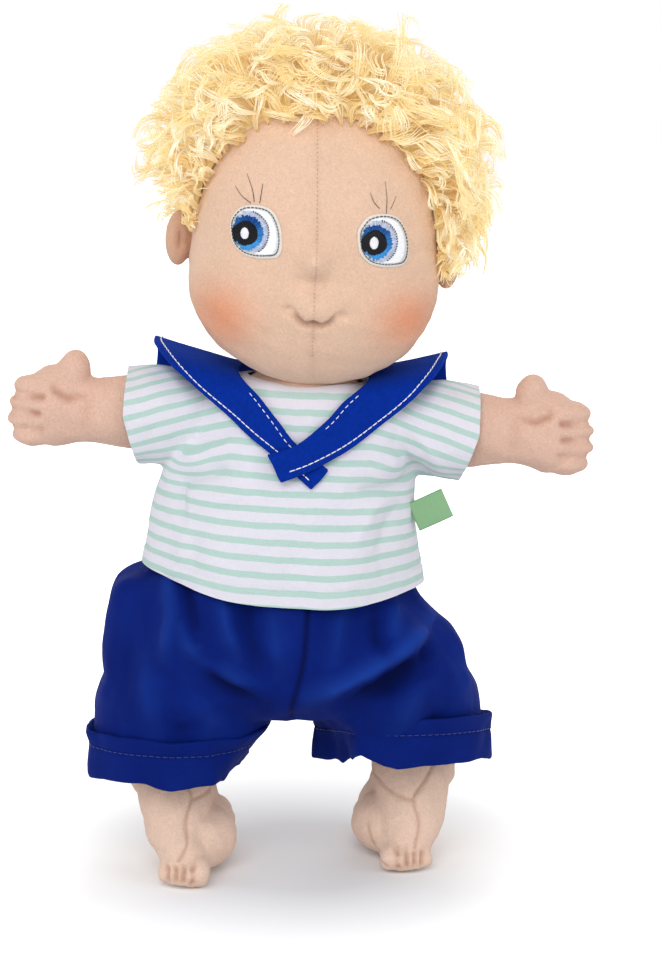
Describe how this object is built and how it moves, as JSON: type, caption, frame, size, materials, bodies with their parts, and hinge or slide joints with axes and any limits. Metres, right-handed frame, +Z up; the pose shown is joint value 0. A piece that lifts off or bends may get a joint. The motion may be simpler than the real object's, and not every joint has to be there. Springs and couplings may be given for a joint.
{
  "type": "dressed cloth doll",
  "caption": "Stuffed cloth doll with a curly blond wig and embroidered eyes, in a striped sailor shirt and blue shorts; head, arms and legs bend at sewn joints.",
  "frame": {"origin": "on the floor between the soles, under the middle of the whole doll's box", "axes": "+Z up, the doll faces -Y, its own left side is at +X"},
  "size_m": [0.2171, 0.1069, 0.3191],
  "materials": {
    "velour": "short matt pile, peach beige",
    "stuffing": "white polyester wadding",
    "pellets": "white plastic granulate in a thin bag",
    "wig_cloth": "plain backing cloth",
    "curls": "shiny curly blond wig fibre",
    "eye_white": "white embroidered patch",
    "eye_blue": "blue embroidery",
    "eye_black": "black embroidery",
    "ear_velour": "darker pink velour",
    "striped_cotton": "off-white plain weave with mint stripes",
    "fastener": "white hook and loop tape",
    "blue_felt": "royal blue felt, white topstitching",
    "green_label": "plain green woven label with nothing on it",
    "blue_twill": "royal blue cotton twill",
    "elastic": "white elastic"
  },
  "bodies": {
    "torso": {"torso_skin": "velour", "torso_filling": "stuffing", "pellet_bag": "pellets", "shirt_front": "striped_cotton", "shirt_back_left": "striped_cotton", "shirt_back_right": "striped_cotton", "back_closure_tape": "fastener", "sailor_collar": "blue_felt", "side_label": "green_label", "shorts_left_half": "blue_twill", "shorts_right_half": "blue_twill", "waist_elastic": "elastic"},
    "neck": {"neck": "velour"},
    "head": {"head_skin": "velour", "head_filling": "stuffing", "wig_backing": "wig_cloth", "hair_pile": "curls", "left_ear": "ear_velour", "right_ear": "ear_velour", "left_eye_patch": "eye_white", "left_iris": "eye_blue", "left_pupil": "eye_black", "right_eye_patch": "eye_white", "right_iris": "eye_blue", "right_pupil": "eye_black"},
    "left_arm": {"left_arm_skin": "velour", "left_arm_filling": "stuffing", "left_sleeve": "striped_cotton"},
    "right_arm": {"right_arm_skin": "velour", "right_arm_filling": "stuffing", "right_sleeve": "striped_cotton"},
    "left_leg": {"left_leg_skin": "velour", "left_leg_filling": "stuffing", "left_cuff": "blue_twill"},
    "right_leg": {"right_leg_skin": "velour", "right_leg_filling": "stuffing", "right_cuff": "blue_twill"}
  },
  "joints": [
    {"name": "neck_turn", "type": "hinge", "parent": "torso", "child": "neck", "pos_m": [0.00207, -0.0045, 0.18979], "axis": [0.0523, 0, 0.9986], "range_deg": [-40, 40], "stiffness_Nm_per_rad": 0.1, "deforming": ["sailor_collar"]},
    {"name": "neck_nod", "type": "hinge", "parent": "neck", "child": "head", "pos_m": [0.00207, -0.0045, 0.18979], "axis": [0.9986, 0, -0.0523], "range_deg": [-10, 10], "stiffness_Nm_per_rad": 0.5, "deforming": ["sailor_collar"]},
    {"name": "left_shoulder", "type": "hinge", "parent": "torso", "child": "left_arm", "pos_m": [0.04202, -0.0045, 0.16867], "axis": [0, -1, 0], "range_deg": [-50, 25], "stiffness_Nm_per_rad": 0.2, "deforming": ["left_sleeve", "shirt_front", "shirt_back_left"]},
    {"name": "right_shoulder", "type": "hinge", "parent": "torso", "child": "right_arm", "pos_m": [-0.04187, -0.0045, 0.17306], "axis": [0, 1, 0], "range_deg": [-50, 25], "stiffness_Nm_per_rad": 0.2, "deforming": ["right_sleeve", "shirt_front", "shirt_back_right"]},
    {"name": "left_hip", "type": "hinge", "parent": "torso", "child": "left_leg", "pos_m": [0.022, -0.0025, 0.074], "axis": [-1, 0, 0], "range_deg": [-15, 85], "stiffness_Nm_per_rad": 0.5, "deforming": ["shorts_left_half", "left_cuff"]},
    {"name": "right_hip", "type": "hinge", "parent": "torso", "child": "right_leg", "pos_m": [-0.032, -0.0025, 0.074], "axis": [-1, 0, 0], "range_deg": [-15, 85], "stiffness_Nm_per_rad": 0.5, "deforming": ["shorts_right_half", "right_cuff"]}
  ]
}
